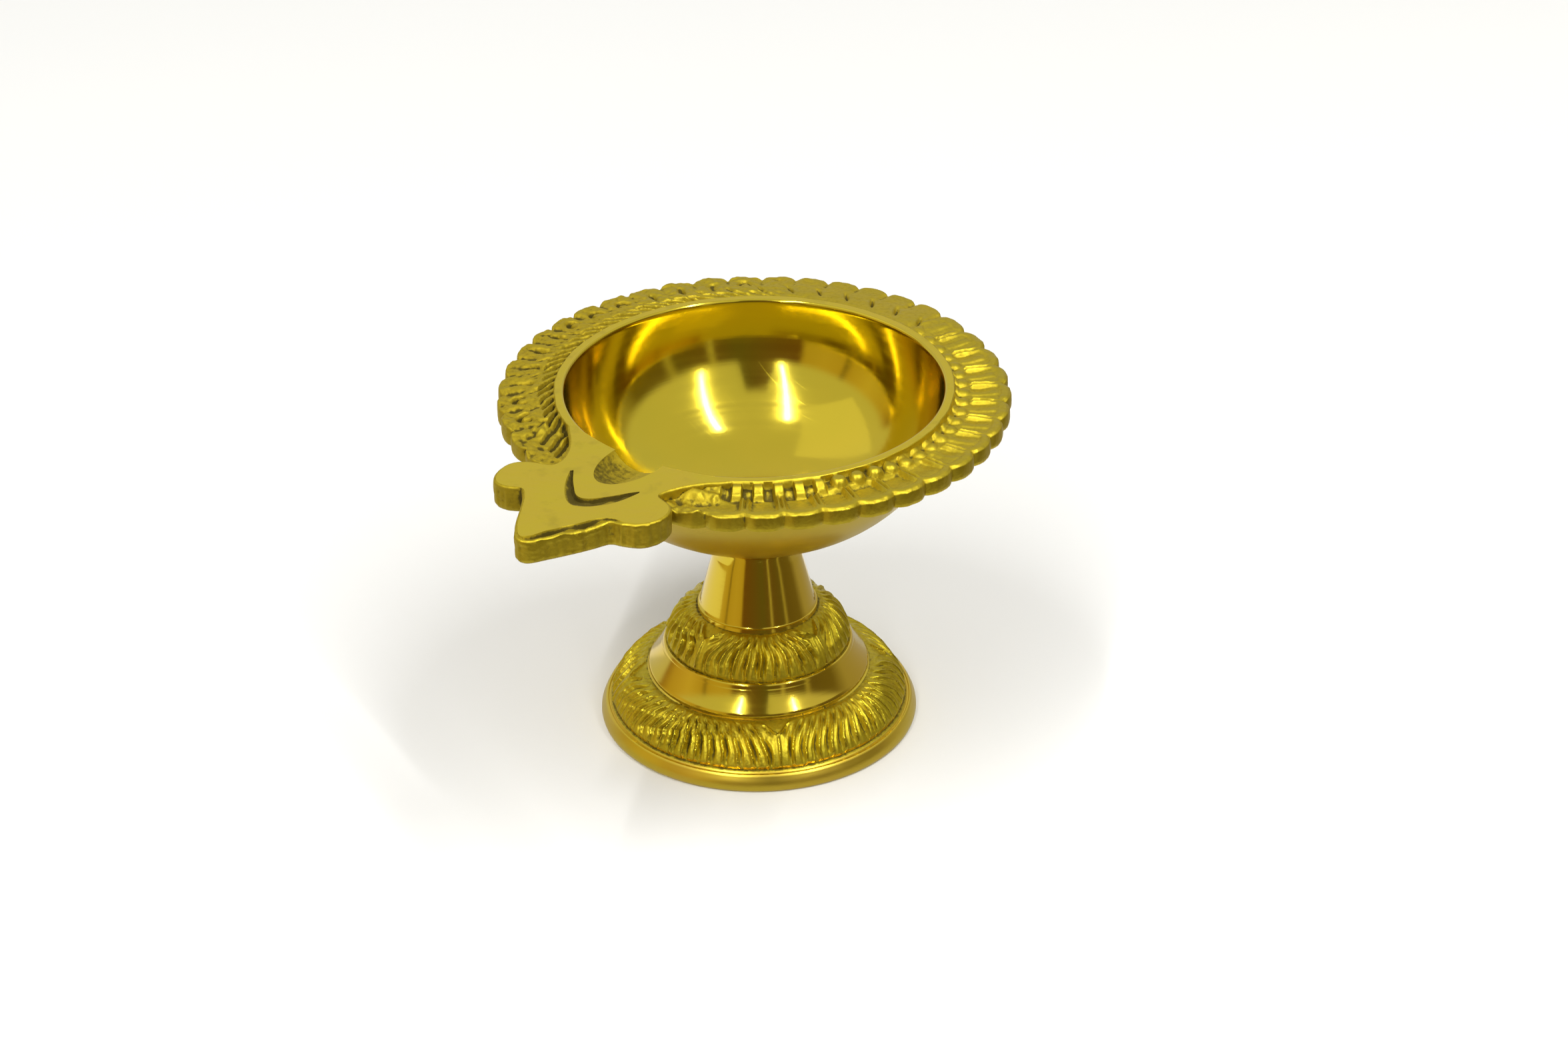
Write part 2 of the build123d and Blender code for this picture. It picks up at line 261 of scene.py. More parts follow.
def slanting_cuts(radius, degrees, spacing, slant, width, start, stop, seed):
    """Slots between the lip and the petals, cut at a slant; 1 in the middle of a slot."""
    place = (degrees - slant * (radius - LAND_RADIUS)) / spacing
    number = np.floor(place)
    apart = np.abs(place - number - 0.5 + 0.3 * jitter(number, seed)) * spacing * radius * pi / 180.0
    reach = stop + 0.7 * jitter(number, seed + 1)
    strong = 0.7 + 0.3 * jitter(number, seed + 2)
    across = ramp(width, width * 0.3, apart)
    return strong * across * ramp(start - 0.4, start, radius) * ramp(reach, reach - 0.9, radius)


def petal_height(radius, degrees, edge):
    """Height of the petals above or below their tops."""
    number, across = petal_place(degrees)
    side = 2 * pi * radius / PETALS * (0.5 - np.abs(across))
    right = ramp(-14.0, 4.0, degrees)
    outer = edge - radius
    crown = -0.30 * ramp(1.0, 0.1, outer) ** 2 - 0.12 * np.abs(2.0 * across) ** 4
    split = -0.50 * bump(side, 0.0, 0.17) * ramp(38.6, 36.6, radius)
    notch = -0.28 * bump(side, 0.0, 0.45) * ramp(39.0, 40.0, radius)
    end = 1.55 + 0.30 * jitter(number, 24)
    inset = np.minimum(side - 0.50, outer - end)
    deep = 0.45 + 0.50 * ramp(38.6, 35.4, radius) + 0.12 * jitter(number, 22)
    hollow = -deep * ramp(-0.1, 0.55, inset)
    hollow = hollow * (1.0 - 0.35 * right)
    # a rounded slat lies in each hollow of the right-hand petals
    middle = np.abs(across) * 2 * pi * radius / PETALS
    slat = 0.20 * ramp(0.9, 0.3, middle) * right * ramp(39.0, 37.8, radius)
    return crown + split + notch + hollow + slat


def engraved_height(radius, degrees):
    """Height of the rim's top where petals and slots are only cut into a flat surface."""
    number, across = petal_place(degrees)
    pitch = 2 * pi * radius / PETALS
    left = ramp(112.0, 145.0, degrees)
    flush = 0.88 - 0.55 * ramp(33.0, 40.0, radius)
    # a soft valley between petals, deepest at the edge
    valley = -0.30 * bump(pitch * (0.5 - np.abs(across)), 0.0, 0.55) * ramp(34.8, 38.5, radius)
    # a short slanting stroke between each two petals, near the lip
    leaning = number + 0.5 + across - 0.11 * (radius - 34.6)
    joint = np.round(leaning)
    apart = np.abs(leaning - joint) * pitch
    stroke = bump(apart, 0.0, 0.40 + 0.12 * jitter(joint, 25))
    stroke = stroke * bump(radius, 34.7 + 0.5 * jitter(joint, 26), 1.15)
    stroke = -1.05 * stroke * np.clip(0.75 + 0.7 * jitter(joint, 27), 0.15, 1.2) * (1.0 - 0.6 * left)
    # on the left a deeper slot or a small hoop inside most petals
    aside = (across + 0.16 * jitter(number, 28)) * pitch
    outward_by = radius - 36.5 - 0.6 * jitter(number, 29)
    slot = bump(aside, 0.0, 0.46) * bump(outward_by, 0.0, 1.3 + 0.4 * jitter(number, 30))
    hoop = bump(np.hypot(aside, 0.7 * outward_by), 0.95, 0.32) * ramp(-0.8, 0.2, outward_by)
    which = ramp(-0.1, 0.1, jitter(number, 31))
    mark = -1.5 * blend(slot, 0.75 * hoop, which)
    mark = mark * np.clip(0.85 + 0.5 * jitter(number, 32), 0.2, 1.2) * left
    # and close slanting slots against the lip
    cuts = slanting_cuts(radius, degrees, 4.0, 2.4, 0.86, LAND_RADIUS + 0.25, 34.2, 33)
    return flush + valley + stroke + mark - 1.65 * cuts * left


def rim_height(radius, degrees, edge):
    """Height of the rim's top, outside the flat lip."""
    places = round_points(radius, 0.0, np.radians(degrees))
    lumps = noise(places, 1.6, 31)
    small = noise(places, 0.75, 32)
    join = ramp(LIP_RADIUS + 3.9, LIP_RADIUS + 4.6, radius)
    top = blend(bead_height(radius, degrees), petal_height(radius, degrees, edge), join)
    # behind and on the left the top is nearly flush with the lip, with marks cut into it
    cut_side = ramp(60.0, 80.0, degrees) * ramp(247.0, 240.0, degrees)
    top = blend(top, engraved_height(radius, degrees), cut_side)
    # beside the spout the pattern breaks down: two ridges on the right, wedges on the left
    lumpy = 0.35 * lumps + 0.22 * small
    ridges = 0.25 - 1.10 * bump(radius, 36.2, 1.5) - 0.35 * bump(radius, 33.0, 0.7)
    ridges = ridges - 0.30 * ramp(36.5, 38.5, radius) + lumpy
    top = blend(top, ridges, ramp(-60.0, -66.0, degrees))
    wedges = slanting_cuts(radius, degrees, 4.1, 1.3, 0.85, LAND_RADIUS + 0.5, 37.2, 36)
    left = 0.10 - 0.3 * ramp(33.0, 36.0, radius) - 1.15 * wedges + 0.15 * lumps
    top = blend(top, left, ramp(234.0, 242.0, degrees))
    crude = 0.25 + 0.75 * ramp(100.0, 135.0, degrees) * ramp(262.0, 250.0, degrees)
    soft = (0.17 * lumps + 0.15 * small) * crude
    return RIM_Z + np.minimum(top + soft, 0.92)


def rim_wall(edge, degrees, z):
    """Radius of the rim's edge at height z, with the upright streaks of the file."""
    streaks = np.stack([degrees * 0.68, 0.0 * degrees, 0.10 * z + 0.0 * degrees], -1)
    return edge - 0.10 + 0.055 * rough(streaks, 0.5, 51)


def bowl_rings():
    """Rings of points from the bowl's floor over the rim and down to the stud's blind hole."""
    degrees = np.arange(RING_COLUMNS) * 360.0 / RING_COLUMNS - 90.0
    angle = np.radians(degrees)
    plain = np.ones(RING_COLUMNS)
    rings = []

    def ring(radius, z):
        rings.append(round_points(radius * plain, z * plain, angle))

    # inside, polished: the same curve as the solid's
    inner_centre = LIP_Z + 4.5
    inner_power = 2.5
    lip_fall = (4.5 / (inner_centre - FLOOR_Z)) ** inner_power
    inner_radius = LIP_RADIUS / (1.0 - lip_fall) ** (1.0 / inner_power)
    top_angle = np.arccos(((inner_centre - LIP_Z + 0.40) / (inner_centre - FLOOR_Z)) ** (inner_power / 2))
    inside = superellipse(inner_radius, inner_centre, FLOOR_Z, inner_power, 0.012, top_angle, 90)
    for radius, z in inside:
        ring(radius, z)
    # lip: a small worn bevel each side of the flat land
    for share in (0.2, 0.4, 0.6, 0.8, 1.0):
        turn = share * pi / 2
        ring(LIP_RADIUS + 0.40 - 0.40 * cos(turn), LIP_Z - 0.40 + 0.40 * sin(turn))
    waver = 0.10 * noise(round_points(LAND_RADIUS * plain, 0.0, angle), 1.7, 61)
    ring(LAND_RADIUS - 0.15 + waver, LIP_Z)
    ring(LAND_RADIUS - 0.03 + waver, LIP_Z - 0.08)
    # beads and petals
    edge = rim_radius(degrees)
    relief_rows = 60
    for row in range(relief_rows):
        share = row / (relief_rows - 1)
        radius = LAND_RADIUS + 0.12 + waver * (1 - share) + share * (edge - 0.35 - LAND_RADIUS - 0.12)
        ring(radius, rim_height(radius, degrees, edge))
    # rounded top edge, upright wall and rounded lower edge
    last_z = rim_height(edge - 0.35, degrees, edge)
    for share in (0.25, 0.5, 0.75, 1.0):
        turn = share * pi / 2
        radius = rim_wall(edge, degrees, last_z) - 0.30 * (1.0 - sin(turn))
        ring(radius, last_z - 0.35 * (1.0 - cos(turn)))
    wall_rows = 9
    for row in range(1, wall_rows):
        share = row / wall_rows
        z = blend(last_z - 0.35, RIM_UNDER_Z + 0.3, share)
        ring(rim_wall(edge, degrees, z) + 0.05 * sin(pi * share), z)
    ring(rim_wall(edge, degrees, last_z) - 0.12, RIM_UNDER_Z + 0.1)
    ring(rim_wall(edge, degrees, last_z) - 0.4, RIM_UNDER_Z)
    # underside of the rim, running into the turned outside of the bowl
    outer_radius = LIP_RADIUS + 2.0
    outer_centre = LIP_Z + 2.0
    outer_power = 2.2
    root_angle = np.arccos(((outer_centre - RIM_ROOT_Z) / (outer_centre - UNDER_Z)) ** (outer_power / 2))
    flare_radius = BOSS_RADIUS + 2.4
    flare_angle = np.arcsin((flare_radius / outer_radius) ** (outer_power / 2))
    outside = superellipse(outer_radius, outer_centre, UNDER_Z, outer_power, root_angle, flare_angle, 70)
    root_radius = outside[0, 0]
    for share in (0.2, 0.4, 0.6, 0.8, 0.93):
        radius = blend(edge - 0.5, root_radius + 0.1, share)
        ring(radius, RIM_UNDER_Z + (RIM_ROOT_Z - RIM_UNDER_Z) * share**1.5)
    for radius, z in outside:
        ring(radius, z)
    # boss, seat and blind hole
    flare_z = outside[-1, 1]
    straight_z = SEAT_Z + 1.5
    for share in (0.2, 0.4, 0.6, 0.8, 1.0):
        radius = flare_radius - (flare_radius - BOSS_RADIUS) * sin(share * pi / 2)
        ring(radius, straight_z + (flare_z - straight_z) * (1 - share) ** 1.4)
    ring(BOSS_RADIUS, SEAT_Z + 0.15)
    ring(BOSS_RADIUS - 0.15, SEAT_Z)
    ring(STUD_HOLE_RADIUS + 0.2, SEAT_Z)
    ring(STUD_HOLE_RADIUS, SEAT_Z + 0.2)
    ring(STUD_HOLE_RADIUS, HOLE_TOP_Z)
    ring(0.3, HOLE_TOP_Z)
    return np.array(rings)


# ============================================================ spout
# Half outlines in plan, from the bowl's lip outwards, as (x, y)
LEFT_NECK = [
    (-17.6, -25.5), (-15.0, -28.5), (-12.6, -31.2), (-10.8, -34.0), (-9.9, -36.6), (-10.1, -38.6),
]
LEFT_LOBE = [
    (-10.1, -38.6), (-13.6, -39.6), (-15.7, -41.6), (-15.7, -44.9), (-14.1, -47.6), (-11.7, -48.0),
    (-9.3, -46.9),
]
LEFT_TIP = [(-9.3, -46.9), (-7.9, -48.4), (-5.9, -51.5), (-3.9, -55.0), (-1.7, -58.2)]
RIGHT_NECK = [
    (17.4, -25.7), (15.0, -28.3), (12.6, -30.4), (10.6, -33.0), (9.4, -35.4), (9.0, -37.2),
]
RIGHT_LOBE = [
    (9.0, -37.2), (12.2, -38.4), (13.6, -40.4), (13.7, -43.0), (12.3, -45.6), (9.6, -46.9),
    (7.6, -47.2),
]
RIGHT_TIP = [(7.6, -47.2), (6.6, -49.6), (5.2, -52.2), (3.4, -55.2), (1.7, -57.9)]
LINE_STEP = 0.18


def spout_outline():
    """Closed outline in plan, anticlockwise, with how much border each point has.

    Along the root, inside the bowl's lip, the border is -1.
    """
    nose = [LEFT_TIP[-1], (-0.9, -58.9), (0.0, TIP_Y + 0.05), (0.95, -58.75), RIGHT_TIP[-1]]
    root_radius = LIP_RADIUS + 0.6
    root = [(root_radius * cos(radians(a)), root_radius * sin(radians(a))) for a in range(-56, -125, -4)]
    root = root[::-1][1:-1]
    lines = [
        (smooth_line(LEFT_NECK, LINE_STEP), 0.0, 0.0),
        (smooth_line(LEFT_LOBE, LINE_STEP), 0.0, 0.0),
        (smooth_line(LEFT_TIP, LINE_STEP), 0.0, 0.0),
        (smooth_line(nose, LINE_STEP), 0.1, 0.7),
        (smooth_line(RIGHT_TIP, LINE_STEP)[::-1], 1.0, 1.0),
        (smooth_line(RIGHT_LOBE, LINE_STEP)[::-1], 0.0, 0.0),
        (smooth_line(RIGHT_NECK, LINE_STEP)[::-1], 0.0, 0.0),
        (root[::-1], -1.0, -1.0),
    ]
    points = []
    border = []
    for line, start, end in lines:
        line = line[:-1] if len(line) > 40 else line
        points.extend(line)
        border.extend(np.linspace(start, end, len(line)))
    return np.array(points), np.array(border)


def outward(points):
    """Unit normals of a closed anticlockwise outline."""
    along = np.roll(points, -2, axis=0) - np.roll(points, 2, axis=0)
    normal = np.stack([along[:, 1], -along[:, 0]], -1)
    return normal / np.linalg.norm(normal, axis=1)[:, None]


def shrink(loop, depth):
    """A closed outline moved inwards by depth, smoothed a little so that it never crosses itself."""
    steps = int(np.ceil(np.max(np.abs(depth)) / 0.08))
    for _ in range(steps):
        loop = loop - outward(loop) * np.reshape(depth / steps, (-1, 1))
        loop = 0.5 * loop + 0.25 * (np.roll(loop, 1, axis=0) + np.roll(loop, -1, axis=0))
    return loop


def spread(values, width):
    """Running mean round a closed outline."""
    total = values * 0.0
    for shift in range(-width, width + 1):
        total = total + np.roll(values, shift, axis=0)
    return total / (2 * width + 1)


def spout_plate():
    """Arrow-headed plate: a filed flat top, a groove and ridge round the tip, streaked walls."""
    outline, border = spout_outline()
    in_lip = border < 0.0
    free = spread(np.where(in_lip, 0.0, 1.0), 14) * ~in_lip
    border = spread(np.maximum(border, 0.0), 12)
    place = np.column_stack([outline, np.zeros(len(outline))])
    inset = free * (0.42 + border * (1.15 + 0.35 * rough(place, 2.2, 71)))
    groove = 0.85 * (1.0 + 0.45 * noise(place, 2.4, 73))
    ridge = 0.42 + 0.28 * rough(place, 1.5, 75)
    # the front of the right lobe is lumpy; everywhere the walls carry upright streaks
    lobe = ramp(4.0, 7.0, outline[:, 0]) * ramp(-41.0, -44.0, outline[:, 1])
    lump = free * (0.05 + 0.30 * lobe) * ramp(0.0, 0.7, rough(place, 1.1, 76))
    streak = free * 0.28 * rough(place, 0.5, 77)
    rings = []

    def ring(offset, z):
        shifted = shrink(outline, np.broadcast_to(offset, len(outline)) * free)
        rings.append(np.column_stack([shifted, z + np.zeros(len(outline))]))

    # rounded edge where there is no border; groove and ridge where there is one
    profile = [
        (1.0, 0.0, 0.0), (0.93, 0.30, 0.0), (0.86, 0.92, 0.0), (0.76, 1.0, 0.0), (0.66, 0.9, 0.1),
        (0.52, 0.25, 0.75), (0.40, 0.0, 1.0), (0.26, 0.0, 1.0), (0.14, 0.0, 1.15), (0.05, 0.0, 1.45),
    ]
    for share, in_groove, on_ridge in profile:
        round_off = 0.42 * (1.0 - (1.0 - (1.0 - share) ** 2.2) ** 0.5)
        bordered = groove * in_groove + ridge * on_ridge
        ring(inset * share - lump * (1.0 - share), LIP_Z - round_off * (1.0 - border) - bordered * border)
    wall_top = LIP_Z - ridge * 1.45 * border - 0.55
    wall_rows = 12
    for row in range(wall_rows + 1):
        share = row / wall_rows
        z = blend(wall_top, SPOUT_UNDER_Z + 0.7, share)
        fade = 0.06 * noise(place + np.array([0.0, 0.0, 0.4 * row]), 0.8, 79)
        ring(0.02 - lump + 0.12 * share + streak * ramp(0.0, 0.2, share) + fade, z)
    ring(0.40 + streak * 0.5, SPOUT_UNDER_Z + 0.25)
    ring(0.70, SPOUT_UNDER_Z + 0.05)
    ring(1.0, SPOUT_UNDER_Z)
    rings = np.array(rings)
    count, columns = rings.shape[:2]
    column = np.arange(columns)
    faces = [column.tolist(), ((count - 1) * columns + column[::-1]).tolist()]
    faces.extend(ring_faces(count, columns))
    return mesh_object("spout_plate", rings.reshape(-1, 3), faces)


CHEVRON_INNER = [
    (-6.3, -38.1), (-4.5, -40.5), (-3.0, -42.2), (-1.4, -43.8), (0.0, -44.2), (1.3, -43.6),
    (2.5, -42.3), (3.7, -40.8), (4.9, -39.1), (6.0, -37.8),
]
CHEVRON_OUTER = [
    (-6.6, -38.6), (-5.2, -41.4), (-3.4, -44.0), (-1.6, -45.9), (0.0, -46.7), (1.5, -46.3),
    (3.0, -45.2), (4.5, -43.4), (5.5, -41.2), (6.2, -38.2),
]
CHEVRON_DEPTH = 0.9


def chevron_cutter():
    """Engraved chevron: steep on the bowl side, sloping up towards the tip."""
    inner = np.array(smooth_line(CHEVRON_INNER, 0.3))
    outer = np.array(smooth_line(CHEVRON_OUTER, 0.3))
    share = np.linspace(0.0, 1.0, len(inner))
    at = np.linspace(0.0, 1.0, len(outer))
    outer = np.column_stack([np.interp(share, at, outer[:, axis]) for axis in range(2)])
    deep = CHEVRON_DEPTH * np.sin(pi * np.clip(share * 0.96 + 0.02, 0, 1)) ** 0.35
    place = np.column_stack([inner, np.zeros(len(inner))])
    deep = deep * (1.0 + 0.15 * noise(place, 1.0, 81))
    rows = []
    # (share of the way from the inner line to the outer, share of the depth, or height in mm above the top)
    profile = [(0.0, -0.3), (0.0, 0.0), (0.06, 0.9), (0.2, 1.0), (0.55, 0.55), (1.0, 0.0), (1.0, -0.3)]
    for part, level in profile:
        plan = inner + (outer - inner) * part
        depth = np.where(level > 0, deep * level, level) if level else deep * 0.0
        wiggle = 0.12 * noise(place, 0.9, 83 + int(part * 100)) * (0.0 < part < 1.0)
        rows.append(np.column_stack([plan, LIP_Z - depth + wiggle]))
    rows = np.array(rows)
    count, columns = rows.shape[:2]
    faces = []
    for row in range(count):
        here = row * columns
        below = (row + 1) % count * columns
        for column in range(columns - 1):
            faces.append([here + column, here + column + 1, below + column + 1, below + column])
    faces.append([row * columns for row in range(count)])
    faces.append([row * columns + columns - 1 for row in range(count)][::-1])
    return mesh_object("chevron_cutter", rows.reshape(-1, 3), faces)


SCOOP_CENTRE = (-0.45, -LIP_RADIUS - 0.3, LIP_Z + 2.05)
SCOOP_SIZE = (5.2, 9.8, 4.3)


def wick_scoop_cutter():
    """Spoon-shaped hollow that carries the wick over the lip."""
    rings = []
    columns = 160
    turn = np.arange(columns) * 2 * pi / columns
    for tilt in np.linspace(0.02, pi - 0.02, 70):
        unit = round_points(np.full(columns, sin(tilt)), cos(tilt), turn)
        rings.append(unit * SCOOP_SIZE + SCOOP_CENTRE)
    return closed_rings("wick_scoop_cutter", np.array(rings))


def make_bowl():
    """The whole casting: the turned bowl joined to the spout plate, then engraved and scooped."""
    bowl = closed_rings("bowl_casting", bowl_rings())
    cut(bowl, spout_plate(), "UNION")
    cut(bowl, chevron_cutter(), "DIFFERENCE")
    cut(bowl, wick_scoop_cutter(), "DIFFERENCE")
    return bowl


# ============================================================ pedestal
def arc_points(start, end, bulge, count):
    """Points on an arc-like curve between two (radius, height) points."""
    start = np.array(start)
    end = np.array(end)
    along = end - start
    across = np.array([-along[1], along[0]]) / np.linalg.norm(along)
    share = np.linspace(0.0, 1.0, count)[:, None]
    return start + along * share + across * bulge * 4 * share * (1 - share)


def leaf_height(turn, down, drop, radius, groups, leaves, lean, seed):
    """Leaf relief in groups that fan out from their middles and meet in a Y.

    turn is the angle in turns and down runs from 0 at the band's top to 1 at its foot, which is
    drop mm lower along the surface.
    """
    place = turn * groups
    group = np.floor(place)
    across = (place - group - 0.5) * leaves
    pitch = 2 * pi * radius / (groups * leaves)
    points = np.stack([turn * 2 * pi * radius, np.full(turn.shape, 0.4 * down * drop), group * 9.0], -1)
    waver = 0.20 * noise(points, 3.2, seed + 11) + 0.03 * noise(points, 1.2, seed + 12)
    bend = lean * max(0.0, 1.0 - down / 0.72) ** 1.5
    bent = np.tanh(across / 1.7) * bend * ramp(leaves * 0.56, leaves * 0.36, np.abs(across))
    foot = across + bent + waver
    nearest = np.round(foot)
    number = np.floor(foot)
    part = foot - number
    line = nearest + group * 37.0
    leaf = number + group * 37.0
    off = (foot - nearest) * pitch
    outward = np.where(across > 0, 1.0, -1.0)
    envelope = ramp(0.06, 0.30, down) * ramp(0.99, 0.86, down)
    strength = 0.80 + 0.40 * jitter(line, seed) + 0.14 * noise(points, 3.5, seed + 13)
    ridge = 0.46 * bump(off, 0.0, 0.28) * envelope * np.clip(strength, 0.35, 1.3)
    # a lens-shaped pit lies against the outer side of each ridge, and a smaller one inside
    pit_middle = 0.62 + 0.12 * jitter(line, seed + 1)
    lens = bump(down, pit_middle, 0.27)
    pit = -0.78 * bump(off * outward, 0.58, 0.30) * lens
    upper = bump(down, 0.22 + 0.08 * jitter(line, seed + 2), 0.12)
    pit = pit - 0.45 * bump(off * outward, -0.52, 0.24) * (0.5 * lens + upper)
    pit = pit * np.clip(0.8 + 0.5 * jitter(line, seed + 3), 0.2, 1.2)
    vein_place = 0.52 + 0.10 * jitter(leaf, seed + 4)
    vein_down = ramp(0.42, 0.6, down) * ramp(0.95, 0.86, down)
    vein = -0.32 * bump((part - vein_place) * pitch, 0.0, 0.17) * vein_down
    vein = vein * np.clip(0.1 + 0.8 * jitter(leaf, seed + 5), 0.0, 0.6)
    body = 0.08 * (1.0 - (2.0 * part - 1.0) ** 4)
    shape = body + ridge + pit + vein
    # the Y where two groups meet: sunk between its arms, plain and smooth down its stem
    from_join = leaves * 0.5 - np.abs(across)
    arm = np.clip((0.36 - down) / 0.36, 0.0, 1.0) * 1.5
    inside = ramp(arm + 0.12, arm - 0.12, from_join)
    arms = 0.30 * bump((from_join - arm) * pitch, 0.0, 0.24) * ramp(0.05, 0.15, down)
    stem = ramp(0.62, 0.35, from_join) * ramp(0.30, 0.42, down)
    sunk = inside * -0.16 * ramp(0.40, 0.30, down)
    shape = shape * (1.0 - inside) * (1.0 - stem) + sunk + arms + 0.12 * stem
    head = ramp(0.01, 0.10, down + 0.05 * jitter(leaf, seed + 6))
    tip = ramp(1.0, 0.93, down + 0.03 * jitter(leaf, seed + 7))
    return (shape * head - 0.20 * (1.0 - head)) * tip - 0.16 * (1.0 - tip)


def pedestal_rings():
    """Rings of points from the stud's hole down the outside and up into the cast hollow."""
    angle = np.arange(FOOT_COLUMNS) * 2 * pi / FOOT_COLUMNS
    turn = angle / (2 * pi)
    plain = np.ones(FOOT_COLUMNS)
    rings = []

    def ring(radius, z):
        rings.append(round_points(radius * plain, z * plain, angle))

    def profile(points):
        for radius, z in points:
            ring(radius, z)

    def relief(start, end, bulge, count, groups, leaves, lean, first, seed):
        """A band of leaf relief; first is the angle in degrees of one Y."""
        line = arc_points(start, end, bulge, count)
        drop = float(np.linalg.norm(line[-1] - line[0]))
        slope = np.gradient(line, axis=0)
        normal = np.column_stack([-slope[:, 1], slope[:, 0]])
        normal /= np.linalg.norm(normal, axis=1)[:, None]
        for row in range(count):
            down = row / (count - 1)
            across = (turn - first / 360.0) % 1.0
            radius, z = line[row]
            height = leaf_height(across, down, drop, radius, groups, leaves, lean, seed)
            height = height + 0.030 * rough(round_points(radius * plain, z * plain, angle), 1.1, seed + 5)
            ring(radius + normal[row, 0] * height, z + normal[row, 1] * height)

    # blind hole for the stud, seat and turned stem
    hole_foot = stud_low[2] - 0.8
    profile([
        (0.3, hole_foot), (STUD_HOLE_RADIUS, hole_foot), (STUD_HOLE_RADIUS, SEAT_Z - 0.2),
        (STUD_HOLE_RADIUS + 0.2, SEAT_Z), (BOSS_RADIUS - 0.15, SEAT_Z), (BOSS_RADIUS - 0.02, SEAT_Z - 0.12),
    ])
    stem = [
        (BOSS_RADIUS, 31.8), (BOSS_RADIUS + 0.04, 31.0), (6.98, 30.0), (7.3, 29.0), (8.32, 25.1),
        (9.36, 21.0),
    ]
    profile(smooth_line(stem, 0.22))
    profile([(9.5, 20.62), (9.62, 20.52), (9.75, 20.5), (9.8, 20.15)])
    relief((9.95, 20.1), (15.0, 13.75), 1.1, 72, 4, 10, 1.7, -7.0, 101)
    # turned band: a fine raised edge, a hollow flare and a rounded lower edge
    profile([(15.05, 13.7), (15.15, 13.75), (15.35, 13.68), (15.55, 13.42), (15.62, 13.18), (15.68, 13.02)])
    profile(arc_points((15.78, 12.88), (17.85, 9.72), -0.10, 26))
    profile([(17.98, 9.5), (18.05, 9.25), (18.0, 9.02), (17.95, 8.9)])
    relief((18.3, 8.95), (24.2, 3.15), 1.15, 80, 4, 16, 1.4, -46.0, 131)
    # groove and turned foot rim
    profile([(24.35, 2.95), (24.5, 2.72), (24.7, 2.7), (24.85, 2.85), (25.05, 2.85), (25.25, 2.7)])
    for share in np.linspace(0.0, 1.0, 12):
        ring(25.35 + (FOOT_RADIUS - 0.02 - 25.35) * sin(share * pi / 2), 2.5 - 1.8 * share)
    profile([(FOOT_RADIUS - 0.1, 0.35), (FOOT_RADIUS - 0.35, 0.08), (FOOT_RADIUS - 0.55, 0.0)])
    profile([(22.8, 0.0), (22.6, 0.15)])
    # rough cast hollow
    hollow = [(22.5, 0.4), (21.4, 2.6), (16.4, 7.4), (13.2, 12.2), (8.2, 17.4), (3.0, 18.5), (0.6, 18.6)]
    for radius, z in smooth_line(hollow, 0.35):
        at = round_points(radius * plain, z * plain, angle)
        ring(radius + 0.22 * rough(at, 2.4, 171) * min(1.0, radius / 3.0), z)
    return np.array(rings)


# ============================================================ stud
THREAD_PITCH = 1.25
THREAD_DEPTH = 0.62
ROWS_PER_THREAD = 10
STUD_END = 0.6             # length of each chamfered end


def make_stud():
    """Threaded stud: one continuous right-hand thread."""
    columns = 96
    turn = np.arange(columns) / columns
    angle = turn * 2 * pi
    low = float(stud_low[2])
    high = float(stud_high[2])
    steps = int((high - low - 2 * STUD_END) / THREAD_PITCH * ROWS_PER_THREAD)
    threaded = []
    for z in np.linspace(low + STUD_END, high - STUD_END, steps)[::-1]:
        phase = (z / THREAD_PITCH - turn) % 1.0
        tooth = np.clip(np.abs(phase - 0.5) * 2.0 * 1.35 - 0.2, 0.0, 1.0)
        ends = ramp(low + 0.5, low + 1.2, z) * ramp(high - 0.5, high - 1.2, z)
        radius = STUD_RADIUS - 0.02 - THREAD_DEPTH * tooth - 0.35 * (1.0 - ends) * (1.0 - tooth)
        threaded.append(round_points(radius, z, angle))
    top, foot = (
        [round_points(np.full(columns, radius), z, angle) for radius in (0.3, STUD_RADIUS - 0.75)]
        for z in (high, low)
    )
    return closed_rings("threaded_stud", np.array(top + threaded + foot[::-1]))


# ============================================================ surface marks
def edge_ends(mesh):
    """The two points of every edge."""
    ends = np.empty(len(mesh.edges) * 2, np.int32)
    mesh.edges.foreach_get("vertices", ends)
    return ends.reshape(-1, 2)


def vertex_values(mesh, what):
    """Places or normals of every point."""
    values = np.empty(len(mesh.vertices) * 3, np.float32)
    getattr(mesh, what).foreach_get("co" if what == "vertices" else "vector", values)
    return values.reshape(-1, 3).astype(float)


def mark_relief(thing, rounds, tarnish):
    """Stores how far each point lies below or above its surroundings, in mm, as 'sunk' and 'proud'.

    tarnish says how dull the brass has grown, point by point, and is stored as 'aged'.
    """
    mesh = thing.data
    places = vertex_values(mesh, "vertices") / MM
    normals = vertex_values(mesh, "vertex_normals")
    one, other = edge_ends(mesh).T
    count = len(places)
    neighbours = np.bincount(one, minlength=count) + np.bincount(other, minlength=count)
    smooth = places.copy()
    for _ in range(rounds):
        total = np.stack(
            [
                np.bincount(one, smooth[other, axis], count) + np.bincount(other, smooth[one, axis], count)
                for axis in range(3)
            ],
            -1,
        )
        smooth = 0.35 * smooth + 0.65 * total / neighbours[:, None]
    above = np.einsum("ij,ij->i", places - smooth, normals)
    aged = tarnish(places)
    # 'sunk' darkens the recesses of the cast materials: grime, and painted shade
    for name, values in (("sunk", -above * (0.4 + aged)), ("proud", above), ("aged", aged)):
        attribute = mesh.attributes.new(name, "FLOAT", "POINT")
        attribute.data.foreach_set("value", np.clip(values, 0.0, 1.0).astype(np.float32))


